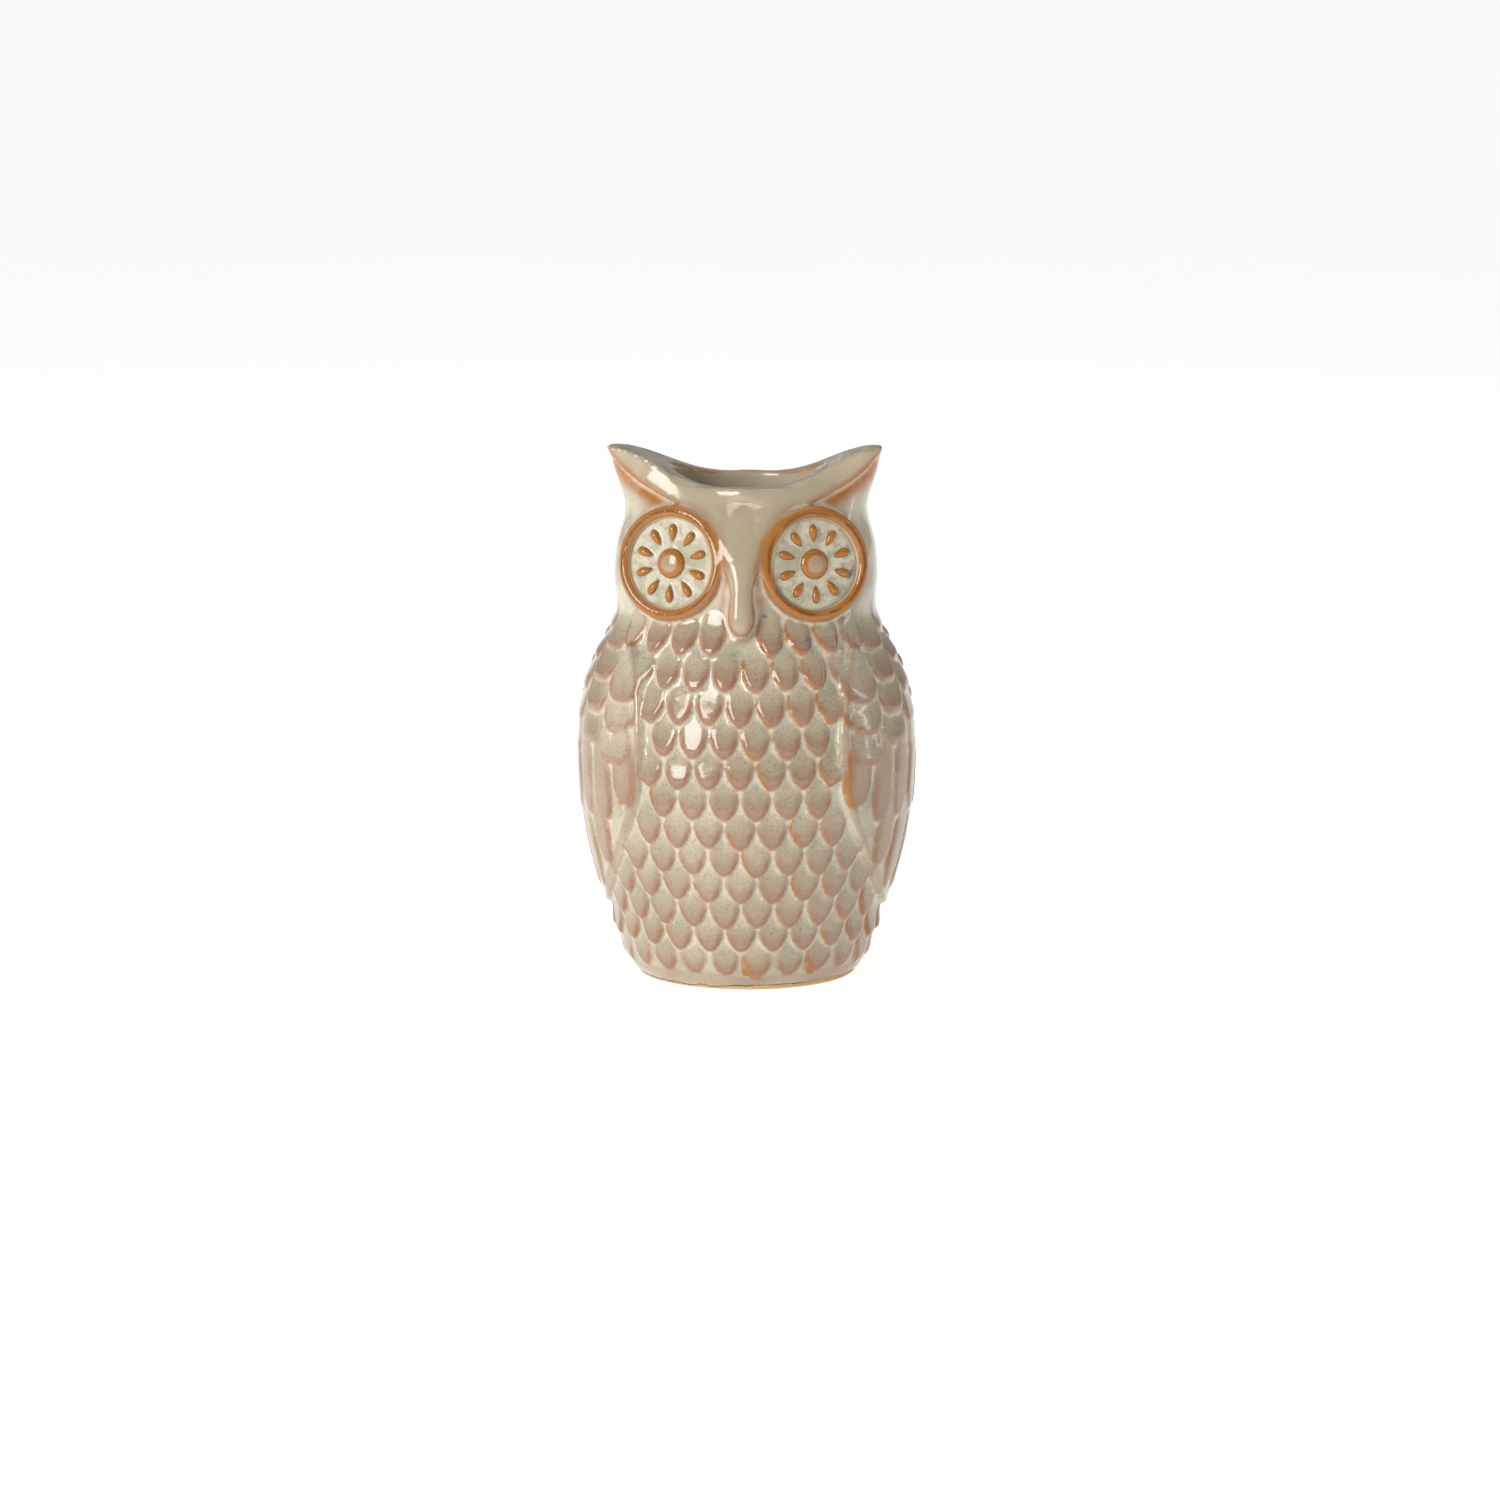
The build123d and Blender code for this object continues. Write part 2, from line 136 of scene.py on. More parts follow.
def quarter(start, leave, arrive, end, count):
    """Points on a Bezier curve, without its last one."""
    t = np.arange(count)[:, None] / count
    ends = (1 - t) ** 3 * np.array(start) + t**3 * np.array(end)
    return ends + 3 * (1 - t) ** 2 * t * np.array(leave) + 3 * (1 - t) * t**2 * np.array(arrive)


def owl_ring(height):
    """The outside of the owl at one height: from its left side round the face, and back again."""
    wide, front, back, corner, slope, shift = (
        float(smooth_through(levels[:, 0], levels[:, column], np.array([height / tall]))[0])
        for column in range(1, 7)
    )
    wide, front, back = wide * half_width, -front * half_depth, back * half_depth
    side = -shift * half_depth
    cheek = front + slope * corner * wide
    count = ring_points // 4
    face = quarter(
        (wide, side), (wide, side + round_handle * (front - side)),
        (corner * wide, cheek), (0, front), count,
    )
    rear = quarter(
        (-wide, side), (-wide, side + round_handle * (back - side)),
        (-round_handle * wide, back), (0, back), count,
    )
    face_right = face[1:][::-1] * (-1, 1)
    rear_left = rear[1:][::-1] * (-1, 1)
    return np.vstack([face, [(0, front)], face_right, rear, [(0, back)], rear_left])


hollow_levels = np.array([
    (floor_top, 0.541 * half_width, 0.536 * half_depth),
    (0.125 * tall, 0.835 * half_width - wall, 0.842 * half_depth - wall),
    (0.235 * tall, 0.930 * half_width - wall, 0.932 * half_depth - wall),
    (0.410 * tall, half_width - wall, half_depth - wall),
    (0.545 * tall, 0.955 * half_width - wall, 0.950 * half_depth - wall),
    (0.790 * tall, mouth_half_width + wall, mouth_half_depth + wall / 2),
    (rim_height, mouth_half_width, mouth_half_depth),
    (tall + 10 * mm, mouth_half_width + 1.5 * mm, mouth_half_depth + 1.5 * mm),
])


def hollow_ring(height):
    """The inside of the wall at one height, an ellipse."""
    wide, deep = (
        float(smooth_through(hollow_levels[:, 0], hollow_levels[:, column], np.array([height]))[0])
        for column in (1, 2)
    )
    turns = -2 * pi * np.arange(ring_points) / ring_points
    return np.column_stack([wide * np.cos(turns), deep * np.sin(turns)])


def only(piece):
    """Makes one piece the only selected and active one."""
    bpy.ops.object.select_all(action="DESELECT")
    piece.select_set(True)
    bpy.context.view_layer.objects.active = piece


def places_of(piece):
    """Every vertex of a piece as one array."""
    found = np.empty(len(piece.data.vertices) * 3)
    piece.data.vertices.foreach_get("co", found)
    return found.reshape(-1, 3)


def place_all(piece, places):
    """Moves every vertex of a piece."""
    piece.data.vertices.foreach_set("co", np.asarray(places, float).ravel())
    piece.data.update()


def thrown(name, ring_at, heights):
    """A closed form raised ring by ring: ring_at gives the points of the wall at a height."""
    bpy.ops.object.select_all(action="DESELECT")
    bpy.ops.mesh.primitive_circle_add(vertices=ring_points, radius=1, fill_type="NGON")
    form = bpy.context.active_object
    form.name = name
    bpy.ops.object.mode_set(mode="EDIT")
    for _ in heights[1:]:
        bpy.ops.mesh.extrude_region_move(TRANSFORM_OT_translate={"value": (0, 0, 1)})
    bpy.ops.object.mode_set(mode="OBJECT")
    rings = [ring_at(height) for height in heights]
    places = places_of(form)
    turn = np.arctan2(-places[:, 1], places[:, 0])
    point = np.round(turn / (2 * pi) * ring_points).astype(int) % ring_points
    ring = np.round(places[:, 2]).astype(int)
    across = np.array(rings)[ring, point]
    place_all(form, np.column_stack([across, np.array(heights)[ring]]))
    only(form)
    bpy.ops.object.mode_set(mode="EDIT")
    bpy.ops.mesh.select_all(action="SELECT")
    bpy.ops.mesh.normals_make_consistent(inside=False)
    bpy.ops.object.mode_set(mode="OBJECT")
    return form


def apply_modifier(piece, kind, **settings):
    """Adds a modifier with its settings and applies it."""
    only(piece)
    modifier = piece.modifiers.new(kind.lower(), kind)
    for name, value in settings.items():
        setattr(modifier, name, value)
    bpy.ops.object.modifier_apply(modifier=modifier.name)


def cut_away(piece, cutter):
    """Takes one closed form out of another and removes the cutter."""
    apply_modifier(piece, "BOOLEAN", operation="DIFFERENCE", object=cutter, solver="EXACT")
    bpy.data.objects.remove(cutter)


body_heights = np.concatenate([
    [foot_line, 1.4 * foot_line],
    np.arange(2 * foot_line, 1.008 * tall, ring_step),
])
body = thrown("owl_body", owl_ring, body_heights)
bare_body = BVHTree.FromPolygons(
    [vertex.co.copy() for vertex in body.data.vertices],
    [tuple(face.vertices) for face in body.data.polygons],
)

# The top is cut level over the mouth and sweeps up to the ear tips on both sides.
rim_sweep = np.array([
    (0, 0), (11, 0), (20, 1.9), (28, 5.4), (37, 9.9), (45, 12.9), (52, 14.5), (60, 15.0),
]) * mm
bpy.ops.object.select_all(action="DESELECT")
bpy.ops.mesh.primitive_grid_add(x_subdivisions=96, y_subdivisions=2, size=2)
trimming = bpy.context.active_object
sheet = places_of(trimming) * (60 * mm, 80 * mm, 0)
sheet[:, 2] = rim_height + smooth_through(rim_sweep[:, 0], rim_sweep[:, 1], np.abs(sheet[:, 0]))
place_all(trimming, sheet)
bpy.ops.object.mode_set(mode="EDIT")
bpy.ops.mesh.select_all(action="SELECT")
bpy.ops.mesh.extrude_region_move(TRANSFORM_OT_translate={"value": (0, 0, 40 * mm)})
bpy.ops.mesh.select_all(action="SELECT")
bpy.ops.mesh.normals_make_consistent(inside=False)
bpy.ops.object.mode_set(mode="OBJECT")
cut_away(body, trimming)

hollow_heights = np.arange(floor_top, tall + 8 * mm, 2 * ring_step)
cut_away(body, thrown("hollow", hollow_ring, hollow_heights))

# ------------------------------------------------------------------------------------ relief
# Brow, beak, eye rims and wings are carved in the mould, so on the vase they are one with the
# wall. Each starts from its solid in the frame and is later softened as the glaze softens it.
carved = ["brow", "beak", "left_eye_rim", "right_eye_rim", "left_wing", "right_wing"]


def stock_from(node):
    """A copy of a node's solid, merged so that it is closed."""
    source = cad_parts[node]
    stock = source.copy()
    stock.data = source.data.copy()
    stock.name = "stock_" + node
    stock.parent = None
    for key in list(stock.keys()):
        del stock[key]
    bpy.context.scene.collection.objects.link(stock)
    only(stock)
    bpy.ops.object.mode_set(mode="EDIT")
    bpy.ops.mesh.select_all(action="SELECT")
    bpy.ops.mesh.remove_doubles(threshold=0.001 * mm)
    bpy.ops.object.mode_set(mode="OBJECT")
    return stock


# The wings sink into the wall at the shoulder.
shoulder_low, shoulder_span, shoulder_depth = 116 * mm, 18 * mm, 2.2 * mm
stocks = [stock_from(node) for node in carved]
for stock in stocks[-2:]:
    places = places_of(stock)
    outwards = places[:, :2] / np.hypot(places[:, 0], places[:, 1])[:, None]
    sunk = shoulder_depth * np.clip((places[:, 2] - shoulder_low) / shoulder_span, 0, 1)
    places[:, :2] -= outwards * sunk[:, None]
    place_all(stock, places)

# The ear tips are thickened with a small blunt knob of clay.
knob_radii = np.array((3.6, 5.4, 2.7)) * mm
knob_aside, knob_forward, knob_drop = 46.9 * mm, 14.0 * mm, 2.6 * mm
for side in (-1, 1):
    bpy.ops.object.select_all(action="DESELECT")
    bpy.ops.mesh.primitive_uv_sphere_add(segments=32, ring_count=16, radius=1)
    knob = bpy.context.active_object
    knob.name = "ear_knob"
    knob_middle = (side * knob_aside, -knob_forward, tall - knob_drop)
    place_all(knob, places_of(knob) * knob_radii + knob_middle)
    stocks.append(knob)

# ------------------------------------------------------------------------------------ feathers
# Scales stamped into the mould in rows: a rounded tip that stands proud, and a top that fades
# into the wall under the row above. The same stamp, cut wider or longer, makes the wings' scales
# and their long feathers.
skin_depth = 1.6 * mm  # how far a stamp's underside sits below the surface it is pressed on
lift_top, lift_span = 132 * mm, 14 * mm  # where the wings, and the feathers on them, sink into the wall
random_press = np.random.default_rng(7)
glaze_marks = {}  # for each stamp, how the glaze breaks over each of its points
marks = []  # the same for every feather pressed, with where it lies


def stamp(name, width, length, proud, dish, point, fade, widest, narrowing, marked):
    """One flat feather with its tip at the origin: X across, Y up it, Z out of the wall.

    dish hollows its middle, point sharpens its tip, fade sinks its top, and widest, narrowing and
    marked say as shares of the length where it is widest, how much narrower its top is, and how
    far up the glaze breaks over it.
    """
    bpy.ops.object.select_all(action="DESELECT")
    bpy.ops.mesh.primitive_grid_add(x_subdivisions=14, y_subdivisions=18, size=2)
    feather = bpy.context.active_object
    feather.name = name
    places = places_of(feather)
    across, up = places[:, 0], (places[:, 1] + 1) / 2
    shoulder = np.clip(up / widest, 0, 1)
    outline = (1 - (1 - shoulder) ** 2) ** point
    outline *= 1 - narrowing * np.clip((up - widest) / (1 - widest), 0, 1) ** 1.5
    edge = np.clip(up * length / (2.2 * mm), 0, 1)
    side = np.clip((1 - np.abs(across)) * width / (4.4 * mm), 0, 1)
    swell = 1 - (1 - np.minimum(edge, side)) ** 2
    hollowed = dish * (1 - across**2) * np.clip(1 - np.abs(up - widest) / widest, 0, 1)
    height = proud * (0.10 + 0.90 * swell) * (1 - fade * np.clip((up - 0.22) / 0.78, 0, 1)) - hollowed
    flat = np.column_stack([across * outline * width / 2, up * length, height])
    place_all(feather, flat)
    inwards = np.minimum((1 - np.abs(across)) * outline * width / 2, up * length * 0.9)
    lower = np.clip((marked - up) / (0.53 * marked), 0, 1)
    band = np.clip(inwards / (0.5 * mm), 0, 1) * np.clip(1.4 - inwards / (2.2 * mm), 0, 1) * lower
    inside = np.clip(inwards / (1.2 * mm), 0, 1) * np.clip((1.27 * marked - up) / (0.67 * marked), 0, 1)
    left = np.clip(-across / 0.5, 0, 1) * np.clip(1.7 - inwards / (0.9 * mm), 0, 1)
    left *= np.clip(2.2 * lower, 0, 1)
    glaze_marks[name] = np.column_stack([band, inside, left])
    bpy.ops.object.mode_set(mode="EDIT")
    bpy.ops.mesh.select_all(action="SELECT")
    bpy.ops.mesh.extrude_region_move()
    bpy.ops.transform.resize(value=(1, 1, 0))
    bpy.ops.transform.translate(value=(0, 0, -skin_depth))
    bpy.ops.object.mode_set(mode="OBJECT")
    under = places_of(feather)
    count = len(flat)
    under[count:, 2] = -skin_depth
    place_all(feather, under)
    only(feather)
    bpy.ops.object.mode_set(mode="EDIT")
    bpy.ops.mesh.select_all(action="SELECT")
    bpy.ops.mesh.normals_make_consistent(inside=False)
    bpy.ops.object.mode_set(mode="OBJECT")
    return feather


def wall_at(turn, height):
    """The point of the bare wall at a turn from the front, in radians, and its outward normal."""
    outward = Vector((sin(turn), -cos(turn), 0))
    start = outward * (2 * half_width) + Vector((0, 0, height))
    found, normal, _, _ = bare_body.ray_cast(start, -outward)
    return found, normal


def press(feather, turn, tip, lift=0.0, lean=0.0):
    """A copy of a flat feather pressed on the wall, its tip at a turn and height."""
    pressed = feather.copy()
    pressed.data = feather.data.copy()
    bpy.context.scene.collection.objects.link(pressed)
    middle, _ = wall_at(turn, tip)
    reach_out = hypot(middle.x, middle.y)
    flat = places_of(feather)
    across = flat[:, 0] * cos(lean) - flat[:, 1] * sin(lean)
    up = flat[:, 0] * sin(lean) + flat[:, 1] * cos(lean)
    wrapped = []
    for x, y, z in zip(across, up, flat[:, 2]):
        found, normal = wall_at(turn + x / reach_out, tip + y)
        lifted = min(max((lift_top - tip - y) / lift_span, 0), 1)
        wrapped.append(found + normal * (z + lift * lifted))
    place_all(pressed, wrapped)
    on_feather = glaze_marks[feather.name]
    on_top = np.array(wrapped)[: len(on_feather)]
    orange = random_press.uniform(0, 1)
    on_breast = 2 * mm < middle.x < 36 * mm and middle.z > 72 * mm
    favoured = middle.y < 0 and (on_breast or abs(middle.x) > 42 * mm and middle.z < 90 * mm)
    orange = min(1, orange * 1.7) if favoured else orange**3
    tint = np.full((len(on_feather), 1), random_press.uniform(0, 1))
    marks.append(np.hstack([on_top, on_feather[:, :2], on_feather[:, 2:] * orange, tint]))
    return pressed


wing_low, wing_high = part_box("left_wing")
wing_outline = np.array([
    (-0.10, 0.675), (-0.56, 0.625), (-0.78, 0.500), (-0.79, 0.375), (-0.66, 0.270),
    (-0.38, 0.175), (0.00, 0.130), (0.45, 0.210), (0.74, 0.400), (0.58, 0.600),
]) * (half_depth, tall)


def inside_wing(turn, height, margin=0.0):
    """Whether a place on the side of the owl lies in a wing's outline, with a margin inside it."""
    found, _ = wall_at(turn, height)
    if abs(found.x) < 0.3 * half_width:
        return False
    crossings = 0
    ends = np.roll(wing_outline, -1, axis=0)
    middle = wing_outline.mean(axis=0)
    shrink = 1 - margin / (0.5 * (wing_high.y - wing_low.y))
    starts, ends = (middle + (corners - middle) * shrink for corners in (wing_outline, ends))
    for (y0, z0), (y1, z1) in zip(starts, ends):
        if (z0 > height) != (z1 > height):
            crossings += found.y < y0 + (height - z0) / (z1 - z0) * (y1 - y0)
    return crossings % 2 == 1


body_feather = stamp(
    "body_feather", width=11.3 * mm, length=19.0 * mm, proud=2.2 * mm, dish=0.45 * mm,
    point=0.82, fade=1.10, widest=0.48, narrowing=0.75, marked=0.72,
)
faint_feather = stamp(
    "faint_feather", width=10.4 * mm, length=15.0 * mm, proud=0.9 * mm, dish=0.20 * mm,
    point=0.72, fade=1.10, widest=0.48, narrowing=0.75, marked=0.72,
)
pressed = []
feather_pitch = 11.4 * mm
row_count, faint_row = 12, 11
first_row_drop, row_pitch, row_closing = 75.0 * mm, 12.4 * mm, 0.145 * mm
for row in range(row_count):
    tip = tall - (first_row_drop + row_pitch * row - row_closing * row**2)
    front, _ = wall_at(0, tip)
    step = feather_pitch / -front.y
    for facing in (0, pi):
        for column in range(-9, 10):
            turn = (column + (row % 2) / 2) * step
            if abs(turn) > pi / 2 or (row == 0 and facing == 0 and abs(turn) < 0.5 * step):
                continue
            place = turn if facing == 0 else pi + turn
            if inside_wing(place, tip + 5 * mm, margin=-2.5 * mm):
                continue
            kind = body_feather if row < faint_row else faint_feather
            copy = press(kind, place, tip + random_press.uniform(-0.4, 0.4) * mm)
            pressed.append(copy)

# A narrow ridge runs down the front of each wing from the shoulder to its tip, through these
# places across and up.
ridge_radius, ridge_out = 2.4 * mm, 1.1 * mm
ridge_places = np.array([
    (40, 127), (37.5, 119), (37.2, 110), (36.8, 98), (36.8, 86), (38.6, 70), (43.2, 57), (47.5, 44), (50.2, 36),
]) * mm
for side in (-1, 1):
    line = bpy.data.curves.new("wing_ridge", "CURVE")
    line.dimensions = "3D"
    line.bevel_depth, line.bevel_resolution, line.use_fill_caps = ridge_radius, 4, True
    run = line.splines.new("NURBS")
    run.points.add(len(ridge_places) - 1)
    for point, (x, z) in zip(run.points, ridge_places):
        start = Vector((side * x, -2 * half_depth, z))
        found, normal, _, _ = bare_body.ray_cast(start, Vector((0, 1, 0)))
        point.co = (*(found + normal * ridge_out), 1)
    run.order_u, run.use_endpoint_u = 4, True
    ridge = bpy.data.objects.new("wing_ridge", line)
    bpy.context.scene.collection.objects.link(ridge)
    only(ridge)
    bpy.ops.object.convert(target="MESH")
    pressed.append(bpy.context.active_object)

scale_feather = stamp(
    "scale_feather", width=18.0 * mm, length=16.5 * mm, proud=1.8 * mm, dish=0.25 * mm,
    point=0.42, fade=1.0, widest=0.45, narrowing=0.15, marked=0.68,
)
long_feather = stamp(
    "long_feather", width=11.2 * mm, length=34.0 * mm, proud=1.8 * mm, dish=0.30 * mm,
    point=0.60, fade=0.30, widest=0.30, narrowing=0.10, marked=0.85,
)
wing_lift = 1.7 * mm
scale_drop, scale_pitch, scales_end = 70.7 * mm, 11.3 * mm, 82 * mm
first_scale_turn, scale_turn = 50, 16.6  # degrees from the front
tier_tips, tier_rise = (61 * mm, 28 * mm), 24 * mm
first_long_turn, long_turn, tier_turn, long_lean = 45, 11.6, 4, 5  # degrees
for side in (-1, 1):
    for column in range(6):
        turn = side * radians(first_scale_turn + scale_turn * column)
        for row in range(6):
            tip = tall - (scale_drop + scale_pitch * row + scale_pitch / 2 * (column % 2))
            if tip > scales_end and inside_wing(turn, tip + 2 * mm, margin=1 * mm):
                pressed.append(press(scale_feather, turn, tip, wing_lift))
    for tier, tip in enumerate(tier_tips):
        for column in range(9):
            turn = side * radians(first_long_turn + long_turn * column + tier_turn * tier)
            levels_up = np.arange(tip, tip + tier_rise, mm)
            on_wing = [level for level in levels_up if inside_wing(turn, level, margin=1.5 * mm)]
            if on_wing:
                lift, lean = wing_lift - 0.2 * mm * tier, -side * radians(long_lean)
                pressed.append(press(long_feather, turn, on_wing[0] + 1.5 * mm, lift, lean))
for feather in (body_feather, faint_feather, scale_feather, long_feather):
    bpy.data.objects.remove(feather)
marks = np.vstack(marks)

# ------------------------------------------------------------------------------------ one clay body
# Wall and relief leave the mould as one skin, and a thick glaze then softens every edge. The
# feathers' own marks are kept on it, because the glaze breaks to rust along their lower edges.
grain = 0.78 * mm
most_triangles = 190_000


def neighbours_of(piece):
    """The two ends of every edge of a piece."""
    pairs = np.empty(len(piece.data.edges) * 2, int)
    piece.data.edges.foreach_get("vertices", pairs)
    return pairs.reshape(-1, 2)


def relaxed(places, pairs, times):
    """Places after each has moved, times over, halfway to the middle of its neighbours."""
    ways, count = (pairs, pairs[:, ::-1]), np.bincount(pairs.ravel(), minlength=len(places))
    for _ in range(times):
        near = np.column_stack([
            sum(np.bincount(way[:, 0], places[way[:, 1], axis], len(places)) for way in ways)
            for axis in range(places.shape[1])
        ])
        places = (places + near / count[:, None]) / 2
    return places


def normals_of(piece):
    """The normal at every vertex of a piece."""
    found = np.empty(len(piece.data.vertices) * 3)
    piece.data.vertex_normals.foreach_get("vector", found)
    return found.reshape(-1, 3)


def thinned(piece, most):
    """Brings a piece under a number of triangles."""
    faces = sum(len(face.vertices) - 2 for face in piece.data.polygons)
    if faces > most:
        apply_modifier(piece, "DECIMATE", ratio=most / faces)


def mark(piece, name, values):
    """Keeps one number for each vertex of a piece, for its glaze to read."""
    piece.data.attributes.new(name, "FLOAT", "POINT").data.foreach_set("value", values)


def mark_relief(piece, fine_times, broad_times, fine_height, broad_height):
    """Marks how far each place stands out of its close and its wide surroundings."""
    places, pairs, normals = places_of(piece), neighbours_of(piece), normals_of(piece)
    for name, times, full in (("fine", fine_times, fine_height), ("broad", broad_times, broad_height)):
        stands_out = ((places - relaxed(places, pairs, times)) * normals).sum(axis=1)
        mark(piece, name, stands_out / full)


bpy.ops.object.select_all(action="DESELECT")
for piece in stocks + pressed + [body]:
    piece.select_set(True)
bpy.context.view_layer.objects.active = body
bpy.ops.object.join()
apply_modifier(body, "REMESH", mode="VOXEL", voxel_size=grain, adaptivity=0)
apply_modifier(body, "SMOOTH", factor=0.5, iterations=6)
thinned(body, most_triangles)
places = places_of(body)


def between(values, low, high):
    """0 up to low and 1 from high on; low may be the greater one."""
    return np.clip((values - low) / (high - low), 0, 1)


# A sponge rounds the ear tips and blends the two halves of the brow over the nose.
aside, up = np.abs(places[:, 0]), places[:, 2]
ear_ends = between(aside, 44 * mm, 48 * mm) * between(up, 190 * mm, 194 * mm)
brow_middle = between(aside, 14.4 * mm, 5.4 * mm) * (places[:, 1] < 0)
brow_middle *= between(up, 148 * mm, 166 * mm) * between(up, 185 * mm, 179 * mm)
rounded = relaxed(places, neighbours_of(body), 220)
blunted = relaxed(places, neighbours_of(body), 24)
places += (rounded - places) * brow_middle[:, None] + (blunted - places) * ear_ends[:, None]
place_all(body, places)
only(body)
bpy.ops.object.shade_smooth()
mark_relief(body, 8, 60, 0.12 * mm, 0.45 * mm)

nearest_mark = KDTree(len(marks))
for index, (x, y, z) in enumerate(marks[:, :3]):
    nearest_mark.insert((x, y, z), index)
nearest_mark.balance()
kept_marks = np.zeros((len(body.data.vertices), marks.shape[1] - 3))
for index, place in enumerate(places_of(body)):
    _, found, away = nearest_mark.find(place)
    if away < skin_depth:
        kept_marks[index] = marks[found, 3:]
for column, name in enumerate(("rim_band", "pad", "left_edge", "pad_tint")):
    mark(body, name, relaxed(kept_marks[:, column : column + 1], neighbours_of(body), 1)[:, 0])
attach(body, "root")
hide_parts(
    "vessel", "brow", "beak", "left_eye_rim", "right_eye_rim", "left_wing", "right_wing",
    "left_wing_coverts", "right_wing_coverts", "left_wing_quills", "right_wing_quills",
    "breast_feathers", "back_feathers",
)

# ------------------------------------------------------------------------------------ eyes
# A sunken disc ringed by ten raised drops round a low domed pupil, pressed in the mould by one
# round tool. Each eye is made flat, softened, and laid in the plane of its socket.
eye_grain = 0.24 * mm
disc_radius, disc_thickness, pupil_radius, pupil_height = 17.0 * mm, 1.6 * mm, 5.5 * mm, 2.4 * mm
ray_start, ray_length, ray_width, ray_height, ray_count = 7.2 * mm, 7.2 * mm, 4.2 * mm, 2.3 * mm, 10


def eye_seat(hand):
    """Where an eye's disc lies: its middle on top, and the turn of its plane."""
    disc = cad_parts[f"{hand}_eye_disc"]
    places = places_of(disc)
    middle = (places.min(axis=0) + places.max(axis=0)) / 2
    _, _, ways = np.linalg.svd(places - places.mean(axis=0), full_matrices=False)
    out = Vector(ways[2] if ways[2][1] < 0 else -ways[2])
    across = Vector((0, 0, 1)).cross(out).normalized()
    up = out.cross(across)
    turned = Matrix((across, up, out)).transposed().to_4x4()
    thick = ((places - middle) @ np.array(out)).max()
    return Matrix.Translation(Vector(middle) + out * thick) @ turned


def drop_made():
    """One raised eye drop, pointed towards the pupil and rounded outwards, lying along X."""
    bpy.ops.object.select_all(action="DESELECT")
    bpy.ops.mesh.primitive_uv_sphere_add(segments=24, ring_count=16, radius=1)
    drop = bpy.context.active_object
    drop.name = "eye_drop"
    places = places_of(drop)
    along = (places[:, 0] + 1) / 2
    narrow = np.clip(along, 0, 1) ** 0.55
    place_all(drop, np.column_stack([
        ray_start + along * ray_length,
        places[:, 1] * ray_width / 2 * narrow,
        places[:, 2] * ray_height * narrow,
    ]))
    return drop


def eye_made(hand):
    """One eye, softened and laid in its socket."""
    bpy.ops.object.select_all(action="DESELECT")
    bpy.ops.mesh.primitive_cylinder_add(vertices=96, radius=disc_radius, depth=disc_thickness)
    eye = bpy.context.active_object
    eye.name = hand + "_eye"
    place_all(eye, places_of(eye) - (0, 0, disc_thickness / 2))
    bpy.ops.mesh.primitive_uv_sphere_add(segments=48, ring_count=24, radius=1)
    pupil = bpy.context.active_object
    place_all(pupil, places_of(pupil) * (pupil_radius, pupil_radius, pupil_height))
    drops = []
    first_drop = drop_made()
    for number in range(ray_count):
        drop = first_drop.copy()
        drop.data = first_drop.data.copy()
        bpy.context.scene.collection.objects.link(drop)
        turn = pi / 2 + number * 2 * pi / ray_count
        places = places_of(drop)
        x, y = places[:, 0], places[:, 1]
        place_all(drop, np.column_stack([
            x * cos(turn) - y * sin(turn), x * sin(turn) + y * cos(turn), places[:, 2],
        ]))
        drops.append(drop)
    bpy.data.objects.remove(first_drop)
    bpy.ops.object.select_all(action="DESELECT")
    for piece in drops + [pupil, eye]:
        piece.select_set(True)
    bpy.context.view_layer.objects.active = eye
    bpy.ops.object.join()
    apply_modifier(eye, "REMESH", mode="VOXEL", voxel_size=eye_grain, adaptivity=0)
    apply_modifier(eye, "SMOOTH", factor=0.5, iterations=4)
    thinned(eye, most_triangles // 2)
    mark_relief(eye, 5, 40, 0.07 * mm, 0.30 * mm)
    places = places_of(eye)
    seat = np.array(eye_seat(hand))
    mark(eye, "from_middle", np.hypot(places[:, 0], places[:, 1]))
    mark(eye, "above_disc", places[:, 2])
    place_all(eye, places @ seat[:3, :3].T + seat[:3, 3])
    only(eye)
    bpy.ops.object.shade_smooth()
    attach(eye, "root")
    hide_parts(f"{hand}_eye_disc", f"{hand}_pupil", f"{hand}_eye_rays")
    return eye


eyes = [eye_made(hand) for hand in ("left", "right")]

# ------------------------------------------------------------------------------------ glaze
# One thick reactive stoneware glaze over everything but the foot: cream to grey-green where it
# pools, breaking to pink-brown, rust and amber where it runs thin, with fine iron specks.
cream, grey_green, olive = (0.490, 0.440, 0.325), (0.350, 0.325, 0.225), (0.330, 0.265, 0.165)
pale, pad_beige, pink_brown = (0.600, 0.535, 0.410), (0.322, 0.236, 0.150), (0.272, 0.142, 0.078)
rust, amber, dark_amber = (0.330, 0.095, 0.022), (0.320, 0.115, 0.010), (0.085, 0.024, 0.003)
speck_grey, ink_blue, clay = (0.130, 0.135, 0.130), (0.070, 0.110, 0.160), (0.520, 0.345, 0.180)
wing_brown, foot_shade_grey, mouth_lit_beige = (0.290, 0.215, 0.130), (0.300, 0.270, 0.190), (0.520, 0.420, 0.300)
eye_cream, eye_green = (0.530, 0.490, 0.380), (0.380, 0.350, 0.245)


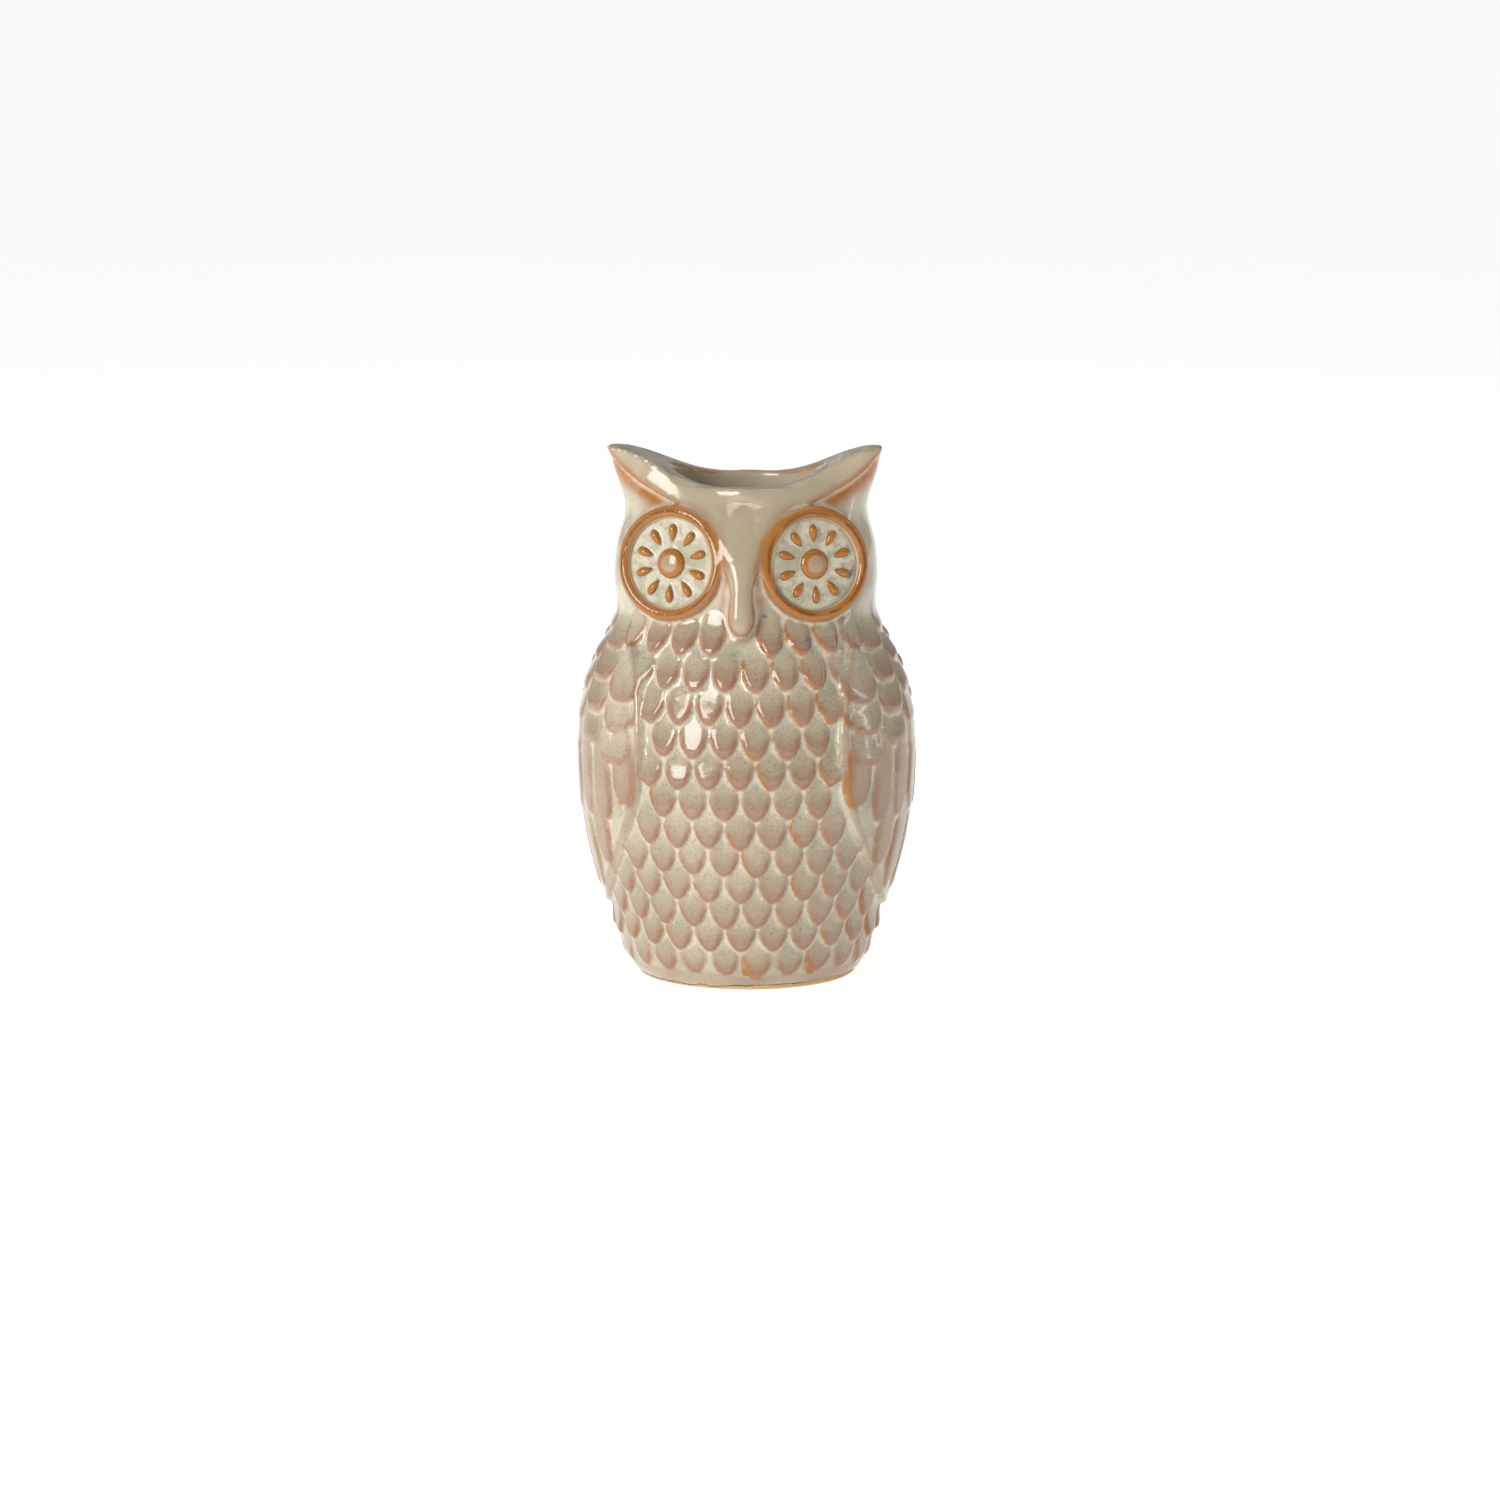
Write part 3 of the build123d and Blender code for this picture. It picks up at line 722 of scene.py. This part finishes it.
class Wire:
    """A number that runs through a material; arithmetic on it adds the nodes that do it."""

    def __init__(self, paint, socket):
        self.paint, self.socket = paint, socket

    def maths(self, operation, *values):
        sockets = dict(enumerate(values))
        return self.paint.node("ShaderNodeMath", {"operation": operation}, sockets)

    def __add__(self, other):
        return self.maths("ADD", self, other)

    def __sub__(self, other):
        return self.maths("SUBTRACT", self, other)

    def __rsub__(self, other):
        return self.maths("SUBTRACT", other, self)

    def __mul__(self, other):
        return self.maths("MULTIPLY", self, other)

    def __truediv__(self, other):
        return self.maths("DIVIDE", self, other)

    def __pow__(self, other):
        return self.maths("POWER", self, other)

    def __abs__(self):
        return self.maths("ABSOLUTE", self)

    __radd__, __rmul__ = __add__, __mul__

    def at_most(self, other):
        return self.maths("MINIMUM", self, other)

    def at_least(self, other):
        return self.maths("MAXIMUM", self, other)

    def rising(self, low, high):
        """0 below low, 1 above high, and smooth between; low may be the greater one."""
        if low > high:
            return 1 - self.rising(high, low)
        sockets = {"Value": self, "From Min": low, "From Max": high}
        return self.paint.node("ShaderNodeMapRange", {"interpolation_type": "SMOOTHSTEP"}, sockets)

    def bell(self, middle, spread):
        """1 at middle, falling smoothly to 0 at spread on each side of it."""
        return abs(self - middle).rising(spread, 0)


class Paint:
    """A material with its nodes: place is where on the object, in metres."""

    def __init__(self, name):
        self.material = bpy.data.materials.new(name)
        self.material.use_nodes = True
        self.tree = self.material.node_tree
        self.shader = self.tree.nodes["Principled BSDF"]
        self.place = self.node("ShaderNodeTexCoord", output="Object")

    def node(self, kind, settings=None, sockets=None, output=0):
        made = self.tree.nodes.new(kind)
        for name, value in (settings or {}).items():
            setattr(made, name, value)
        for name, value in (sockets or {}).items():
            self.join(value, made.inputs[name])
        return Wire(self, made.outputs[output])

    def join(self, value, socket):
        if isinstance(value, Wire):
            self.tree.links.new(value.socket, socket)
        elif socket.type == "RGBA" and len(value) == 3:
            socket.default_value = (*value, 1)
        else:
            socket.default_value = value

    def attribute(self, name):
        return self.node("ShaderNodeAttribute", {"attribute_name": name}, output="Fac")

    def noise(self, size, detail=2.0, offset=0.0):
        """Soft noise about 0.5, with features of a size in metres."""
        moved = self.node("ShaderNodeVectorMath", {"operation": "ADD"}, {0: self.place, 1: (offset, offset, 0)})
        sockets = {"Vector": moved, "Scale": 1 / size, "Detail": detail, "Roughness": 0.55}
        return self.node("ShaderNodeTexNoise", sockets=sockets)

    def mix(self, amount, first, second):
        """From the first colour to the second as amount goes from 0 to 1."""
        sockets = {0: amount, 6: first, 7: second}
        return self.node("ShaderNodeMix", {"data_type": "RGBA"}, sockets, output=2)

    def specks(self, spacing, radius, share):
        """Round dots: one in a share of the cells, each radius across its cell."""
        cell = {"Vector": self.place, "Scale": 1 / spacing}
        away = self.node("ShaderNodeTexVoronoi", sockets=cell, output="Distance")
        colour = self.node("ShaderNodeTexVoronoi", sockets=cell, output="Color")
        chance = self.node("ShaderNodeSeparateColor", sockets={0: colour}, output=0)
        return away.rising(radius, radius * 0.5) * chance.rising(1 - share, 1.02 - share)

    def finish(self, **sockets):
        for name, value in sockets.items():
            self.join(value, self.shader.inputs[name.replace("_", " ").title()])
        return self.material


seat = eye_seat("left")
eye_middle, eye_out = seat.to_translation(), seat.to_3x3() @ Vector((0, 0, 1))
brow_line = np.array([
    (0.0, 134.0), (2.6, 135.2), (3.9, 138.5), (4.4, 144.0), (4.9, 152.0), (5.7, 159.0),
    (7.5, 167.0), (11.5, 172.5), (18.0, 177.0), (24.5, 180.0), (32.0, 183.5), (40.0, 188.5),
    (47.0, 194.5), (52.0, 200.0),
]) * mm


def mark_brow(piece):
    """Marks how far outside the line of the brow and beak each place on the front is."""
    places = places_of(piece)
    start, along = brow_line[:-1], np.diff(brow_line, axis=0)
    best = np.full(len(places), 1.0)
    spot = np.column_stack([np.abs(places[:, 0]), places[:, 2]])
    for (x, z), (run, rise) in zip(start, along):
        share = np.clip(((spot[:, 0] - x) * run + (spot[:, 1] - z) * rise) / (run**2 + rise**2), 0, 1)
        across, up = spot[:, 0] - x - share * run, spot[:, 1] - z - share * rise
        away = np.hypot(across, up) * np.sign(across * rise - up * run)
        best = np.where(np.abs(away) < np.abs(best), away, best)
    best[places[:, 1] > 0.1 * half_depth] = 1.0
    mark(piece, "outside_brow", best)


mark_brow(body)


def glaze(name, feathered):
    """The glaze on a piece that stands on the foot line; feathered reads the marks of the relief."""
    paint = Paint(name)
    x, y, z = (
        paint.node("ShaderNodeSeparateXYZ", sockets={0: paint.place}, output=axis) for axis in range(3)
    )
    soft, patchy = paint.noise(22 * mm, 3), paint.noise(7 * mm, 3, 0.3)
    fine_grain, tiny = paint.noise(1.1 * mm, 2, 0.7), paint.noise(0.8 * mm, 2, 0.9)
    colour = paint.mix((soft + 0.35 * (patchy - 0.5)).rising(0.36, 0.66), cream, grey_green)
    colour = paint.mix(fine_grain.rising(0.50, 0.72) * 0.22, colour, olive)
    # The glaze stops on a wavering line above the bare foot, lower at the owl's right.
    wavering = (paint.noise(9 * mm, 4, 0.5) - 0.5) * (2.6 * mm)
    edge = 0.9 * mm + 1.5 * mm * x.rising(-20 * mm, 42 * mm) + wavering
    shiny = (z - edge).rising(-0.1 * mm, 0.1 * mm)
    speckled = patchy.rising(0.50, 0.68) * 0.5 + 0.25
    if feathered:
        fine, broad = paint.attribute("fine"), paint.attribute("broad")
        band, pad = paint.attribute("rim_band"), paint.attribute("pad")
        left_edge, tint = paint.attribute("left_edge"), paint.attribute("pad_tint")
        outside = paint.attribute("outside_brow")
        front = y.rising(0, -12 * mm)
        face = z.rising(131 * mm, 141 * mm)
        plate = face * front * outside.rising(2 * mm, -3 * mm)
        colour = paint.mix(plate * 0.75, colour, olive)
        # Browner over the wings; darker and greyer towards the foot, partly the glaze greying low down and
        # partly painted shade on the lower body; and paler, warmer inside the mouth, painted light where the
        # lamps reach less into it.
        on_side = abs(x).rising(36 * mm, 54 * mm) * z.rising(136 * mm, 122 * mm)
        colour = paint.mix(on_side * 0.40, colour, wing_brown)
        # Painted shade: the lower body is darkened towards the foot, together with the glaze's own greying
        # there.
        colour = paint.mix(z.rising(70 * mm, 18 * mm) * 0.22, colour, foot_shade_grey)
        across_mouth = x * x / (31 * mm) ** 2 + y * y / (28 * mm) ** 2
        # Painted light: the inside of the mouth is made paler and warmer, standing in for light reaching into
        # it.
        lit_in_mouth = across_mouth.rising(1.15, 0.95) * z.rising(120 * mm, 130 * mm)
        colour = paint.mix(lit_in_mouth * 0.7, colour, mouth_lit_beige)
        # Each feather is pinkish brown in its middle and rust at its rim, some amber at the left.
        colour = paint.mix(pad * (0.60 + 0.30 * tint), colour, pad_beige)
        pinkness = band * (0.75 + 0.9 * (soft - 0.5)) + broad.rising(0.35, 1.5) * 0.45 * (1 - face)
        colour = paint.mix(pinkness.at_most(1), colour, pink_brown)
        rusty = (band ** 3) * (0.35 + 0.6 * tint) * patchy.rising(0.35, 0.6)
        colour = paint.mix(rusty, colour, rust)
        run_amber = left_edge.rising(0.12, 0.55) * (0.6 + patchy.rising(0.4, 0.6) * 0.4)
        colour = paint.mix(run_amber, colour, amber)
        # The eye rims, told by their distance from the eye's axis, on either side.
        from_eye = paint.node(
            "ShaderNodeVectorMath", {"operation": "SUBTRACT"},
            {0: paint.node("ShaderNodeCombineXYZ", sockets={0: abs(x), 1: y, 2: z}), 1: eye_middle},
        )
        turned = paint.node("ShaderNodeVectorMath", {"operation": "CROSS_PRODUCT"}, {0: from_eye, 1: eye_out})
        ring = paint.node("ShaderNodeVectorMath", {"operation": "LENGTH"}, {0: turned}, "Value")
        along = {0: from_eye, 1: eye_out}
        height = paint.node("ShaderNodeVectorMath", {"operation": "DOT_PRODUCT"}, along, "Value")
        near_eye = abs(height).rising(9 * mm, 6 * mm)
        blush = ring.bell(20.5 * mm, 4.6 * mm) * near_eye
        uneven = ring + (patchy - 0.5) * (2.4 * mm)
        rim = ring.rising(16.7 * mm, 17.2 * mm) * uneven.rising(21.4 * mm, 20.2 * mm)
        # The edge of the brow, amber on the ears, and the rear lip of the mouth.
        on_ear = abs(x).rising(22 * mm, 34 * mm) * front
        line = (outside.bell(0.7 * mm, 2.4 * mm) * front).at_least(outside.bell(2.5 * mm, 4.6 * mm) * on_ear)
        brow_amber = line * (0.65 + on_ear * 0.35) * (patchy.rising(0.30, 0.50) * 0.6 + 0.4)
        ear_blush = outside.bell(3.0 * mm, 7.5 * mm) * on_ear * 0.75
        brow_blush = (outside.bell(1.2 * mm, 4.5 * mm) * front).at_least(ear_blush) * 0.8
        lip = y.rising(-2 * mm, 6 * mm) * z.rising(184 * mm, 185.5 * mm) * fine.rising(0.5, 1.6)
        colour = paint.mix((blush * 0.7).at_least(brow_blush), colour, pink_brown)
        amber_parts = (rim * near_eye * 0.96).at_least(brow_amber).at_least(lip * 0.7)
        colour = paint.mix(amber_parts, colour, amber)
        groove = (ring + (soft - 0.5) * (3.0 * mm)).bell(18.7 * mm, 1.0 * mm) * near_eye
        colour = paint.mix(groove * patchy.rising(0.3, 0.55) * 0.7, colour, dark_amber)
        colour = paint.mix(fine.rising(-0.4, -2.0) * 0.60, colour, pale)
        # A blue-grey streak on the breast and a speck beside the beak.
        streak = (x + 0.30 * (z - 130 * mm)).bell(24.5 * mm, 1.3 * mm) * z.bell(130 * mm, 5.5 * mm) * front
        drips = (x + 0.1 * z).bell(22.4 * mm, 1.4 * mm) * z.bell(140 * mm, 1.2 * mm) * front
        inky = streak.at_least(drips) * fine_grain.rising(0.30, 0.55) * 0.9
        colour = paint.mix(inky, colour, ink_blue)
        speckled = (speckled + pad * 0.40) * (1 - 0.7 * face) + 0.08
    dots = (paint.specks(1.0 * mm, 0.32, 0.42) + paint.specks(3.1 * mm, 0.13, 0.35)).at_most(1)
    colour = paint.mix(dots * speckled.at_most(1) * 0.75, colour, speck_grey)
    colour = paint.mix(tiny.rising(0.50, 0.66) * speckled.at_most(1) * 0.55, colour, speck_grey)
    lined = (z - edge).bell(0.2 * mm, 0.6 * mm)
    colour = paint.mix(lined * 0.85, colour, dark_amber)
    gritty_clay = paint.mix(fine_grain.rising(0.45, 0.7) * 0.35, clay, pink_brown)
    colour = paint.mix(shiny, gritty_clay, colour)
    bump = paint.node(
        "ShaderNodeBump", sockets={"Strength": 0.25, "Distance": 0.05 * mm, "Height": fine_grain + patchy * 3},
    )
    roughness = 0.75 - shiny * (0.66 - 0.06 * fine_grain)
    return paint.finish(base_color=colour, roughness=roughness, normal=bump)


body.data.materials.clear()
body.data.materials.append(glaze("reactive_glaze", True))
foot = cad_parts["foot_ring"]
foot_clay = glaze("foot_clay", False)
if not foot.material_slots:
    foot.data.materials.append(foot_clay)
for place in foot.material_slots:
    place.material = foot_clay

eye_paint = Paint("eye_glaze")
from_middle, above = eye_paint.attribute("from_middle"), eye_paint.attribute("above_disc")
fine, broad = eye_paint.attribute("fine"), eye_paint.attribute("broad")
mottle, blotch = eye_paint.noise(0.7 * mm, 2), eye_paint.noise(4 * mm, 3, 0.2)
eye_colour = eye_paint.mix(blotch.rising(0.4, 0.62), eye_cream, eye_green)
dots = (eye_paint.specks(0.8 * mm, 0.36, 0.5) * 0.9).at_most(1)
eye_colour = eye_paint.mix(dots * blotch.rising(0.30, 0.55), eye_colour, speck_grey)
# A blue-grey smear crosses the lower outer drop of the owl's left eye.
eye_x, eye_z = (
    eye_paint.node("ShaderNodeSeparateXYZ", sockets={0: eye_paint.place}, output=axis) for axis in (0, 2)
)
smear = (eye_x - 0.5 * (eye_z - 154 * mm)).bell(39.3 * mm, 1.7 * mm) * eye_z.bell(154.5 * mm, 4.5 * mm)
eye_colour = eye_paint.mix(smear * mottle.rising(0.3, 0.5) * 0.9, eye_colour, ink_blue)
# The raised drops and pupil are amber, dark round their feet, and the crown of the pupil is beige.
raised = above.rising(0.20 * mm, 0.60 * mm)
skirt = above.bell(0.20 * mm, 0.25 * mm)
eye_colour = eye_paint.mix(skirt * 0.5, eye_colour, pink_brown)
crown = from_middle.rising(3.6 * mm, 2.7 * mm)
on_pupil = from_middle.rising(6.2 * mm, 5.8 * mm)
raised_colour = eye_paint.mix(above.rising(0.3 * mm, 1.1 * mm), dark_amber, amber)
raised_colour = eye_paint.mix(crown * on_pupil, raised_colour, pad_beige)
eye_colour = eye_paint.mix(raised, eye_colour, raised_colour)
eye_edge = from_middle.rising(15.9 * mm, 16.7 * mm)
eye_colour = eye_paint.mix(eye_edge * 0.8, eye_colour, amber)
eye_bump = eye_paint.node("ShaderNodeBump", sockets={"Strength": 0.2, "Distance": 0.04 * mm, "Height": mottle})
eye_glaze = eye_paint.finish(base_color=eye_colour, roughness=0.10 + 0.05 * mottle, normal=eye_bump)
for eye in eyes:
    eye.data.materials.clear()
    eye.data.materials.append(eye_glaze)

# ------------------------------------------------------------------------------------ table
# A plain pale table under soft daylight: a large soft box at the front left, a dim one on each
# side, a narrow strip at the right and one overhead.
bpy.ops.object.select_all(action="DESELECT")
bpy.ops.mesh.primitive_plane_add(size=240)
table = bpy.context.active_object
table.name = "table"
table_paint = Paint("table_white")
white_wash = table_paint.mix(table_paint.noise(0.4, 2), (0.90, 0.90, 0.89), (0.94, 0.94, 0.93))
table.data.materials.append(
    table_paint.finish(base_color=white_wash, roughness=0.6, emission_color=(1, 1, 1), emission_strength=0.68)
)

world = bpy.data.worlds.new("daylight")
bpy.context.scene.world = world
world.use_nodes = True
world.node_tree.nodes["Background"].inputs[0].default_value = (1, 1, 1, 1)
world.node_tree.nodes["Background"].inputs[1].default_value = 0.29
bpy.context.scene.view_settings.view_transform = "Standard"


def soft_box(name, width, length, power, place, aim):
    """A rectangular soft light at a place, turned to face aim."""
    light = bpy.data.lights.new(name, "AREA")
    light.shape = "RECTANGLE"
    light.size, light.size_y, light.energy = width, length, power
    box = bpy.data.objects.new(name, light)
    box.location = place
    box.rotation_euler = (Vector(aim) - Vector(place)).to_track_quat("-Z", "Y").to_euler()
    bpy.context.scene.collection.objects.link(box)


middle = (0, 0, 0.55 * tall)
soft_box("window", 0.54, 0.72, 15.0, (-0.75, -1.05, 0.62), middle)
soft_box("left_side", 0.9, 1.2, 4.0, (-1.5, 0.2, 0.5), middle)
soft_box("right_side", 0.9, 1.2, 1.6, (1.5, 0.3, 0.5), middle)
soft_box("right_strip", 0.06, 0.9, 1.3, (1.25, -0.05, 0.45), middle)
soft_box("overhead", 1.2, 1.2, 4.4, (0.1, 0.2, 1.5), middle)
